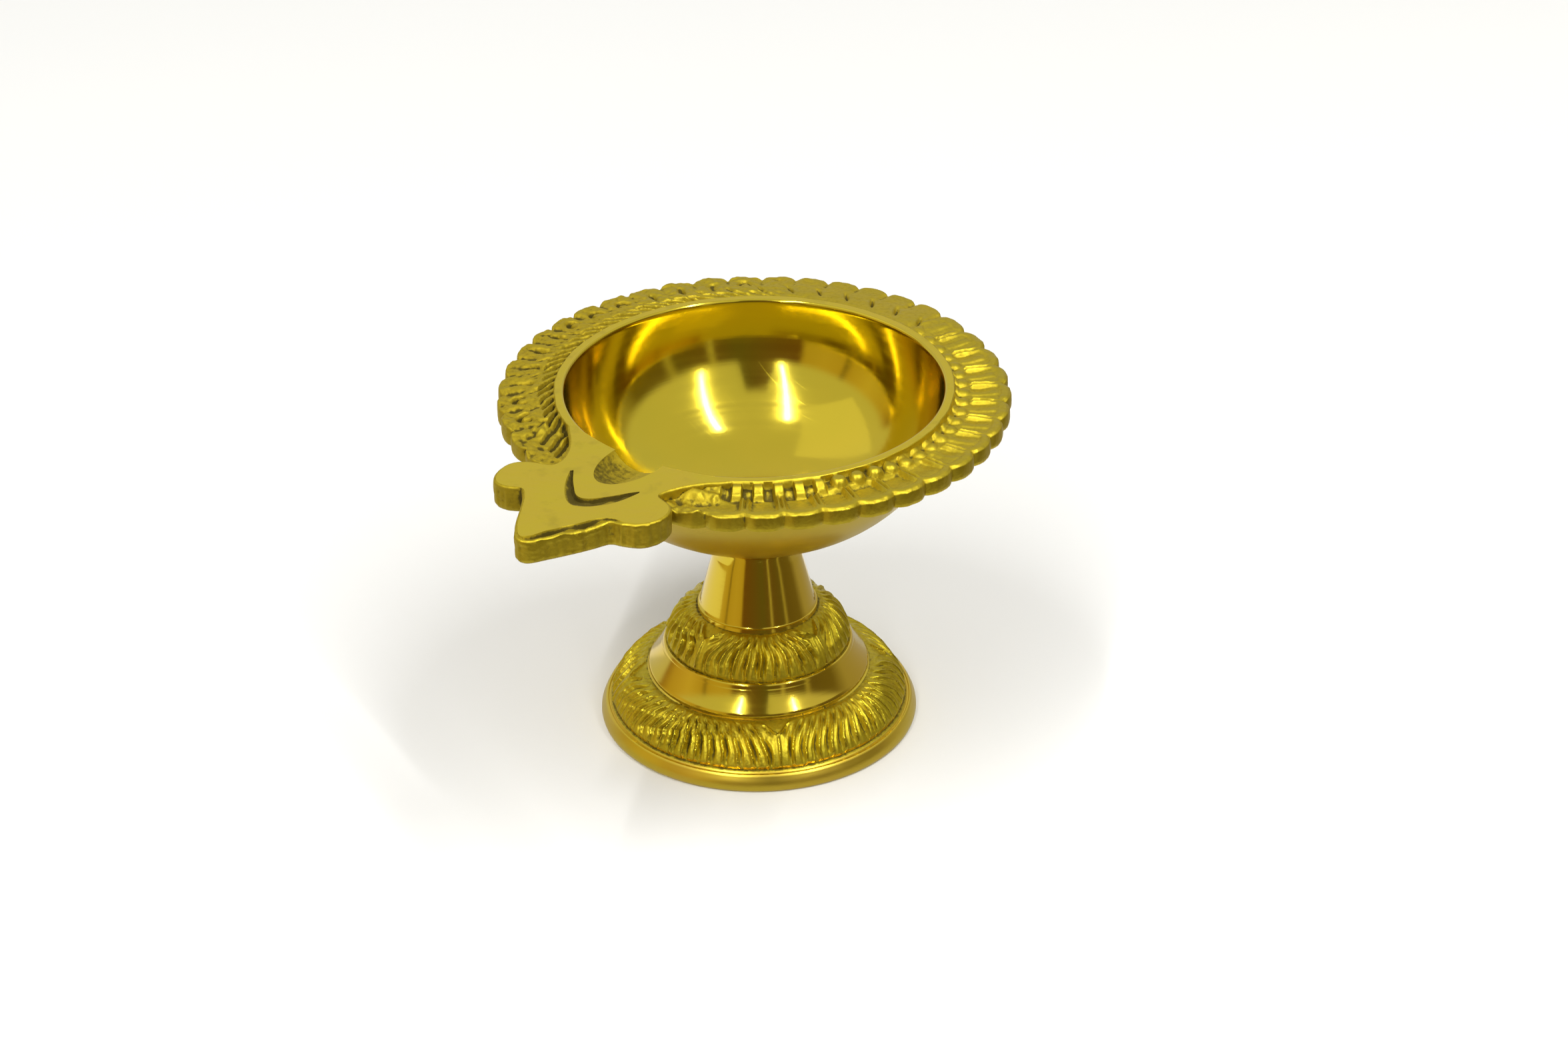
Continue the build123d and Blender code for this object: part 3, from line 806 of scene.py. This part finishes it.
def face_values(mesh):
    """Centre in mm, and normal, of every face."""
    centre = np.empty(len(mesh.polygons) * 3, np.float32)
    normal = centre.copy()
    mesh.polygons.foreach_get("center", centre)
    mesh.polygons.foreach_get("normal", normal)
    return centre.reshape(-1, 3) / MM, normal.reshape(-1, 3)


def finish_faces(thing, material_index, crease, flat=None):
    """Materials by face; smooth shading that breaks at creases, in degrees, and round flat faces."""
    mesh = thing.data
    mesh.polygons.foreach_set("material_index", material_index.astype(np.int32))
    mesh.shade_smooth()
    mesh.set_sharp_from_angle(angle=radians(crease))
    if flat is not None:
        mesh.polygons.foreach_set("use_smooth", ~flat)
    mesh.update()


# ============================================================ materials
def new_material(name):
    """A material, its nodes and its shader."""
    material = bpy.data.materials.new(name)
    material.use_nodes = True
    tree = material.node_tree
    return material, tree, tree.nodes["Principled BSDF"]


def give(tree, node, inputs):
    """Sets inputs, found by name or number, to a value or to another node's output."""
    for key, value in inputs.items():
        if isinstance(value, bpy.types.NodeSocket):
            tree.links.new(value, node.inputs[key])
        else:
            node.inputs[key].default_value = value


def add(tree, kind, inputs, **settings):
    """A shader node with its inputs and settings."""
    node = tree.nodes.new("ShaderNode" + kind)
    for key, value in settings.items():
        setattr(node, key, value)
    give(tree, node, inputs)
    return node


def math_node(tree, operation, *values):
    return add(tree, "Math", dict(enumerate(values)), operation=operation).outputs[0]


def total(tree, first, *others):
    """Sum of node outputs."""
    for other in others:
        first = math_node(tree, "ADD", first, other)
    return first


def product(tree, first, second):
    return math_node(tree, "MULTIPLY", first, second)


def noise_node(tree, vector, scale, detail=3.0, roughness=0.55):
    inputs = {"Vector": vector, "Scale": scale, "Detail": detail, "Roughness": roughness}
    return add(tree, "TexNoise", inputs).outputs["Fac"]


def fit(tree, value, low, high, start=0.0, stop=1.0, kind="LINEAR"):
    """value mapped from low..high to start..stop, clamped."""
    inputs = dict(enumerate((value, low, high, start, stop)))
    return add(tree, "MapRange", inputs, interpolation_type=kind, clamp=True).outputs[0]


def mix_colour(tree, factor, first, second):
    """first where factor is 0 and second where it is 1; each is a colour or a node's output."""
    first, second = ((*value, 1.0) if isinstance(value, tuple) else value for value in (first, second))
    return add(tree, "Mix", {0: factor, 6: first, 7: second}, data_type="RGBA").outputs[2]


def object_place(tree):
    return add(tree, "TexCoord", {}).outputs["Object"]


def turned_place(tree):
    """Coordinates that are the same all the way round the lathe axis."""
    x, y, z = add(tree, "SeparateXYZ", {0: object_place(tree)}).outputs
    square = total(tree, product(tree, x, x), product(tree, y, y))
    return add(tree, "CombineXYZ", {0: math_node(tree, "SQRT", square), 1: z}).outputs[0]


def stretched_noise(tree, place, turns, scales, detail):
    """Noise drawn out into lines that lie at this turn."""
    mapping = add(tree, "Mapping", {"Vector": place, "Rotation": turns, "Scale": scales})
    return noise_node(tree, mapping.outputs[0], 1.0, detail)


def bump_node(tree, height, depth, normal=None):
    """Bump of this depth in metres, on top of another bump."""
    inputs = {"Height": height, "Distance": depth, "Strength": 1.0}
    if normal is not None:
        inputs["Normal"] = normal
    return add(tree, "Bump", inputs).outputs[0]


BRASS = (0.75, 0.565, 0.036)
BRASS_GREEN = (0.69, 0.545, 0.033)
BRASS_COPPER = (0.76, 0.53, 0.055)
RIM_BRASS = (0.54, 0.41, 0.026)
RIM_GREEN = (0.50, 0.39, 0.024)
LEAF_BRASS = (0.65, 0.50, 0.032)
LEAF_GREEN = (0.59, 0.475, 0.028)
OLD_BRASS = (0.25, 0.185, 0.018)
# dark olive grime; in the recesses of the cast relief it also serves as painted shade
GRIME_AND_SHADE = (0.11, 0.082, 0.010)
LACQUER = 0.25     # weight of the clear, colourless coat on the turned surfaces


def turned_brass(name, light, deep, low, high):
    """Lathe-turned and polished: fine rings, faint smears and a few hairline scratches."""
    material, tree, shader = new_material(name)
    place = object_place(tree)
    rings = turned_place(tree)
    smear = noise_node(tree, place, 95.0, 4.0)
    cloud = noise_node(tree, place, 38.0, 3.0)
    fine = noise_node(tree, rings, 5200.0, 2.0)
    coarse = noise_node(tree, rings, 900.0, 2.0)
    hair = stretched_noise(tree, place, (0.3, 0.5, 0.9), (60.0, 2600.0, 60.0), 2.0)
    scratch = product(tree, fit(tree, hair, 0.68, 0.74), 0.05)
    grooves = fit(tree, coarse, 0.3, 0.7, -0.02, 0.02)
    normal = bump_node(tree, fine, 0.0000022)
    normal = bump_node(tree, coarse, 0.0000040, normal)
    give(tree, shader, {
        "Base Color": mix_colour(tree, fit(tree, cloud, 0.35, 0.65), light, deep),
        "Metallic": 1.0,
        "Roughness": total(tree, fit(tree, smear, 0.3, 0.7, low, high), grooves, scratch),
        "Coat Weight": LACQUER,
        "Coat Roughness": high,
        "Normal": bump_node(tree, smear, 0.0000200, normal),
    })
    return material


def filed_brass(name):
    """Flat tops rubbed down on a file or belt: crossing scratches over a satin surface."""
    material, tree, shader = new_material(name)
    place = object_place(tree)
    cloud = noise_node(tree, place, 150.0, 4.0)
    scratches = None
    for turn, scale in ((0.5, 4200.0), (-0.7, 3300.0), (1.9, 5200.0)):
        lines = stretched_noise(tree, place, (0.0, 0.0, turn), (90.0, scale, 90.0), 1.0)
        scratches = lines if scratches is None else total(tree, scratches, lines)
    dent = noise_node(tree, place, 480.0, 3.0)
    colour = mix_colour(tree, fit(tree, cloud, 0.35, 0.68), BRASS, BRASS_GREEN)
    stain = fit(tree, noise_node(tree, place, 260.0, 4.0), 0.56, 0.78, 0.0, 0.30)
    give(tree, shader, {
        "Base Color": mix_colour(tree, stain, colour, OLD_BRASS),
        "Metallic": 1.0,
        "Roughness": fit(tree, cloud, 0.3, 0.7, 0.34, 0.46),
        "Normal": bump_node(tree, dent, 0.0000500, bump_node(tree, scratches, 0.0000060)),
    })
    return material


def cast_brass(name, light, shade, grime_and_shade, deep, dull_low, dull_high, sandy):
    """Sand-cast relief: grainy, bright on the ridges, with dark olive tarnish and painted shade in the
    grooves.
    """
    material, tree, shader = new_material(name)
    place = object_place(tree)
    sunk, proud, aged = (
        add(tree, "Attribute", {}, attribute_name=mark).outputs["Fac"] for mark in ("sunk", "proud", "aged")
    )
    cloud = noise_node(tree, place, 140.0, 4.0)
    grain = noise_node(tree, place, 1500.0, 4.0, 0.62)
    sand = noise_node(tree, place, 5200.0, 2.0)
    patches = fit(tree, grain, 0.3, 0.75, -0.28, 0.22)
    # recesses ('sunk') mix towards the dark olive colour: partly real grime, partly painted shade in the
    # crevices
    dirt_and_shade = total(tree, fit(tree, sunk, 0.01, deep), patches, fit(tree, aged, 0.65, 1.0, 0.0, 0.16))
    dirt_and_shade = fit(tree, dirt_and_shade, 0.12, 0.85, 0.0, grime_and_shade, "SMOOTHSTEP")
    worn = fit(tree, proud, 0.02, 0.16)
    speckle = product(tree, fit(tree, grain, 0.45, 0.8, 0.0, 0.5), fit(tree, worn, 0.0, 1.0, 1.0, 0.2))
    dull = total(tree, speckle, fit(tree, aged, 0.5, 1.0, 0.0, 0.28))
    colour = mix_colour(tree, fit(tree, cloud, 0.35, 0.65), light, shade)
    colour = mix_colour(tree, dull, colour, OLD_BRASS)
    roughness = total(
        tree,
        fit(tree, worn, 0.0, 1.0, dull_high, dull_low),
        product(tree, dirt_and_shade, 0.22),
        fit(tree, aged, 0.5, 1.0, 0.0, 0.22),
        fit(tree, grain, 0.3, 0.7, -0.06, 0.06),
    )
    normal = bump_node(tree, sand, 0.0000160 * sandy)
    give(tree, shader, {
        "Base Color": mix_colour(tree, dirt_and_shade, colour, GRIME_AND_SHADE),
        "Metallic": fit(tree, dirt_and_shade, 0.0, 1.0, 1.0, 0.75),
        "Roughness": roughness,
        "Normal": bump_node(tree, grain, 0.0000900 * sandy, normal),
    })
    return material


def plain_floor(name):
    """Matt white, very slightly uneven."""
    material, tree, shader = new_material(name)
    cloud = fit(tree, noise_node(tree, object_place(tree), 3.0, 2.0), 0.3, 0.7)
    give(tree, shader, {
        "Base Color": mix_colour(tree, cloud, (0.80, 0.80, 0.79), (0.82, 0.82, 0.81)),
        "Roughness": 0.75,
        "Specular IOR Level": 0.1,
    })
    return material


# ============================================================ assembly
polished = turned_brass("polished_brass", BRASS, BRASS_GREEN, 0.08, 0.14)
turned = turned_brass("turned_brass", BRASS, BRASS_COPPER, 0.08, 0.14)
band_brass = turned_brass("band_brass", BRASS_COPPER, BRASS, 0.09, 0.15)
satin = turned_brass("satin_brass", BRASS, BRASS_COPPER, 0.28, 0.36)
filed = filed_brass("filed_brass")
cast = cast_brass("cast_brass", RIM_BRASS, RIM_GREEN, 0.97, 0.26, 0.42, 0.54, 0.6)
leaf_cast = cast_brass("leaf_cast_brass", LEAF_BRASS, LEAF_GREEN, 0.92, 0.24, 0.22, 0.45, 0.8)
hollow_cast = cast_brass("hollow_cast_brass", LEAF_BRASS, OLD_BRASS, 0.8, 0.45, 0.42, 0.55, 1.6)
thread_brass = turned_brass("thread_brass", BRASS_COPPER, BRASS, 0.24, 0.34)


def rim_tarnish(places):
    """The rim is cleanest on its right-hand side, and darkest on the left."""
    angle = np.degrees(np.arctan2(places[:, 1], places[:, 0]))
    clean = ramp(-62.0, -40.0, angle) * ramp(100.0, 60.0, angle)
    turned = angle % 360.0
    left = ramp(140.0, 185.0, turned) * (turned < 270.0)
    return 0.65 - 0.45 * clean + 0.35 * left


def even_tarnish(places):
    """The pedestal is equally dull all round."""
    return np.full(len(places), 0.5)


def bowl_faces(mesh):
    """Each face's material (0 polished, 1 filed, 2 cast, 3 satin), and whether it is on the flat top."""
    centre, normal = face_values(mesh)
    radius = np.hypot(centre[:, 0], centre[:, 1])
    z = centre[:, 2]
    faces_up = normal[:, 2] > 0
    flat_top = (normal[:, 2] > 0.999) & (np.abs(z - LIP_Z) < 0.02)
    inside = (radius < LIP_RADIUS + 0.42) & (z > FLOOR_Z - 0.1)
    under_plate = (np.abs(z - SPOUT_UNDER_Z) < 0.3) & (radius > LIP_RADIUS + 1.65)
    outside = (z < RIM_ROOT_Z + 0.03) & ~under_plate
    # 1 on the ellipsoid that cut the scoop
    scoop = sum(((centre[:, axis] - SCOOP_CENTRE[axis]) / SCOOP_SIZE[axis]) ** 2 for axis in range(3))
    in_scoop = (np.abs(scoop - 1.0) < 0.03) & (z < LIP_Z - 0.005)
    index = np.full(len(centre), 2)
    index[outside & ~(inside & faces_up)] = 3
    index[inside & (faces_up | (z > RIM_ROOT_Z))] = 0
    index[flat_top] = 1
    index[in_scoop] = 2
    return index, flat_top


def pedestal_faces(mesh):
    """Each face's material: 0 turned, 1 leaves, 2 cast hollow, 3 turned band, 4 satin."""
    centre, normal = face_values(mesh)
    radius = np.hypot(centre[:, 0], centre[:, 1])
    z = centre[:, 2]
    dome = (radius > 9.85) & (radius < 15.08) & (z > 13.71)
    skirt = (radius > 18.1) & (radius < 24.4) & (z < 9.2) & (z > 2.9) & (normal[:, 2] > 0)
    in_hollow = (normal[:, 2] < 0.0) & (radius < 22.55) & (z < 18.9) & (z > 0.3)
    band = (radius > 15.0) & (radius < 18.3) & (z > 8.9) & (normal[:, 2] > -0.2)
    index = np.zeros(len(centre))
    index[band] = 3
    index[in_hollow] = 2
    index[dome | skirt] = 1
    index[(radius > 24.25) & (z < 3.2)] = 4
    return index


bowl = make_bowl()
mark_relief(bowl, 40, rim_tarnish)
for material in (polished, filed, cast, satin):
    bowl.data.materials.append(material)
index, flat_top = bowl_faces(bowl.data)
finish_faces(bowl, index, 38.0, flat_top)

pedestal = closed_rings("pedestal_casting", pedestal_rings())
mark_relief(pedestal, 30, even_tarnish)
for material in (turned, leaf_cast, hollow_cast, band_brass, satin):
    pedestal.data.materials.append(material)
finish_faces(pedestal, pedestal_faces(pedestal.data), 32.0)

stud = make_stud()
stud.data.materials.append(thread_brass)
finish_faces(stud, np.zeros(len(stud.data.polygons)), 40.0)

for piece, node, body, slot in (
    (bowl, "oil_bowl", "bowl", "bowl_brass"),
    (pedestal, "pedestal", "pedestal", "pedestal_brass"),
    (stud, "bowl_stud", "stud", "stud_brass"),
):
    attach(piece, body)
    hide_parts(node)

# ============================================================ floor, light and camera
CAMERA_AZIMUTH = 36.0      # degrees round from the spout, which points along -Y
LAMP_MIDDLE = 0.04         # height that the side light is aimed at, m
SIDE_DISTANCE = 1.3        # of the side light, m
CEILING = 1.2              # height of the tube lights, m


def square_sheet(name, size, material):
    """Sheet on the ground, part of the stage and not of the lamp."""
    half = size / 2
    mesh = bpy.data.meshes.new(name)
    corners = [(-half, -half, 0), (half, -half, 0), (half, half, 0), (-half, half, 0)]
    mesh.from_pydata(corners, [], [(0, 1, 2, 3)])
    mesh.materials.append(material)
    thing = bpy.data.objects.new(name, mesh)
    bpy.context.scene.collection.objects.link(thing)
    return thing


def area_light(name, wide, tall, radiance):
    """Rectangular soft light that the camera can't see."""
    light = bpy.data.lights.new(name, "AREA")
    light.shape = "RECTANGLE"
    light.size = wide
    light.size_y = tall
    light.energy = radiance * pi * light.size * light.size_y
    thing = bpy.data.objects.new(name, light)
    bpy.context.scene.collection.objects.link(thing)
    thing.visible_camera = False
    return thing


def side_light(name, azimuth, elevation, wide, tall, radiance):
    """Light that faces the lamp from the side, sized in degrees as the lamp sees it.

    azimuth is from the camera's side, and elevation is above the lamp's middle.
    """
    a = radians(CAMERA_AZIMUTH + azimuth)
    e = radians(elevation)
    outward_by = SIDE_DISTANCE * Vector((sin(a) * cos(e), -cos(a) * cos(e), sin(e)))
    across, up = (2 * SIDE_DISTANCE * np.tan(radians(angle / 2)) for angle in (wide, tall))
    thing = area_light(name, across, up, radiance)
    thing.location = outward_by + Vector((0.0, 0.0, LAMP_MIDDLE))
    thing.rotation_mode = "QUATERNION"
    thing.rotation_quaternion = (-outward_by).to_track_quat("-Z", "Y")


floor_white = plain_floor("floor_white")
floor = square_sheet("floor", 8.0, floor_white)
floor.visible_glossy = False
# brass mirrors only the near part of the floor, as if it were a small table in a room
near_floor = square_sheet("floor_near", 0.10, floor_white)
near_floor.location.z = -0.0002
near_floor.visible_camera = False
near_floor.visible_diffuse = False
near_floor.visible_shadow = False


def tube_light(name, start, end, wide, radiance):
    """Long soft light lying under the ceiling.

    start and end are (right, towards the camera) from the lamp, in ceiling heights.
    """
    a = radians(CAMERA_AZIMUTH)
    right = Vector((cos(a), sin(a), 0.0))
    near = Vector((sin(a), -cos(a), 0.0))
    ends = [(right * x + near * y) * CEILING for x, y in (start, end)]
    along = ends[1] - ends[0]
    thing = area_light(name, wide, along.length, radiance)
    thing.location = (ends[0] + ends[1]) / 2 + Vector((0.0, 0.0, CEILING))
    thing.rotation_euler = (0.0, 0.0, along.to_track_quat("Y", "Z").to_euler().z)


TUBES = (("right", (0.25, -0.05), (1.03, 1.35)), ("left", (-0.25, 0.10), (-0.58, 1.71)))
for side, start, end in TUBES:
    tube_light("tube_" + side, start, end, 0.020, 130.0)
    tube_light("glow_" + side, start, end, 0.12, 2.2)
side_light("side_left", -106.0, 54.0, 46.0, 34.0, 0.19)

# What stands round the lamp, by direction from the camera's side and clockwise seen from above:
# (degrees, colour)
PALE = (0.72, 0.72, 0.70)
TABLE = (1.05, 1.03, 1.0)
MIDDLE = (0.62, 0.47, 0.16)
DARK = (0.17, 0.115, 0.055)
ROOM = [
    (-180, PALE), (-119, PALE), (-114, (0.40, 0.26, 0.08)), (-104, MIDDLE), (-82, (0.74, 0.60, 0.26)),
    (-66, MIDDLE), (-62, (0.28, 0.21, 0.08)), (-59, MIDDLE), (-46, (0.66, 0.51, 0.20)), (-33, MIDDLE),
    (-29, (0.19, 0.10, 0.04)), (-6, DARK), (10, (0.15, 0.13, 0.06)), (24, DARK),
    (27, (0.62, 0.58, 0.40)), (31, DARK), (52, (0.16, 0.13, 0.06)), (56, (0.50, 0.46, 0.30)),
    (61, (0.17, 0.13, 0.06)), (88, (0.20, 0.16, 0.07)), (104, (0.44, 0.40, 0.30)),
    (150, (0.50, 0.46, 0.38)), (166, PALE),
]


def make_world():
    """A room round the lamp: a pale ceiling, and pale, brown and dark upright things at eye level."""
    world = bpy.data.worlds.new("soft_room")
    world.use_nodes = True
    tree = world.node_tree
    background = tree.nodes["Background"]
    direction = add(tree, "TexCoord", {}).outputs["Generated"]
    height = add(tree, "SeparateXYZ", {0: direction}).outputs[2]
    a = radians(CAMERA_AZIMUTH)
    right, near = (
        add(tree, "VectorMath", {0: direction, 1: way}, operation="DOT_PRODUCT").outputs["Value"]
        for way in ((cos(a), sin(a), 0.0), (sin(a), -cos(a), 0.0))
    )
    around = math_node(tree, "ARCTAN2", right, near)
    place = math_node(tree, "MULTIPLY_ADD", around, 1.0 / (2.0 * pi), 0.5)
    ramp_node = add(tree, "ValToRGB", {"Fac": place})
    stops = ramp_node.color_ramp.elements
    while len(stops) < len(ROOM):
        stops.new(0.5)
    for stop, (degrees, colour) in zip(stops, ROOM):
        stop.position = degrees / 360.0 + 0.5
        stop.color = (*colour, 1.0)
    # the person behind the camera stands a little higher than the rest
    beside = fit(tree, math_node(tree, "ABSOLUTE", math_node(tree, "ADD", around, 0.03)), 0.17, 0.22)
    top = fit(tree, beside, 0.0, 1.0, 0.80, 0.44)
    over = math_node(tree, "SUBTRACT", height, top)
    ceiling = fit(tree, over, -0.06, 0.06, 0.0, 1.0, "SMOOTHSTEP")
    colour = mix_colour(tree, ceiling, ramp_node.outputs["Color"], PALE)
    # a bright table top, which in front and on the right lies lower down
    to_right = fit(tree, right, 0.1, 0.5, 0.0, 0.50)
    to_front = fit(tree, near, 0.2, 0.5, 0.0, 0.50)
    lower = math_node(tree, "ADD", height, math_node(tree, "MAXIMUM", to_right, to_front))
    on_table = fit(tree, lower, -0.17, -0.09, 1.0, 0.0, "SMOOTHSTEP")
    give(tree, background, {"Color": mix_colour(tree, on_table, colour, TABLE), "Strength": 0.88})
    bpy.context.scene.world = world


make_world()

# Where the camera stands, in metres, and its turn, tilt and roll in radians
CAMERA_AWAY = 0.51228      # from the lamp's axis
CAMERA_UP = 0.32757
CAMERA_TURN = 0.008686
CAMERA_PITCH = 0.519153
CAMERA_ROLL = -0.010615
camera_data = bpy.data.cameras.new("camera")
camera_data.sensor_width = 36.0
camera_data.lens = 84.18
camera_data.clip_start = 0.01
camera_data.clip_end = 50.0
camera = bpy.data.objects.new("camera", camera_data)
bpy.context.scene.collection.objects.link(camera)
level = cos(CAMERA_PITCH)
forward = Vector((sin(CAMERA_TURN) * level, cos(CAMERA_TURN) * level, -sin(CAMERA_PITCH)))
right = Vector((cos(CAMERA_TURN), -sin(CAMERA_TURN), 0.0))
above = right.cross(forward)
axis_x = right * cos(CAMERA_ROLL) + above * sin(CAMERA_ROLL)
axis_y = above * cos(CAMERA_ROLL) - right * sin(CAMERA_ROLL)
basis = Matrix((axis_x, axis_y, -forward)).transposed().to_4x4()
basis.translation = Vector((0.0, -CAMERA_AWAY, CAMERA_UP))
camera.matrix_world = Matrix.Rotation(radians(CAMERA_AZIMUTH), 4, "Z") @ basis
bpy.context.scene.camera = camera
bpy.context.scene.view_settings.view_transform = "Standard"

bpy.context.view_layer.update()
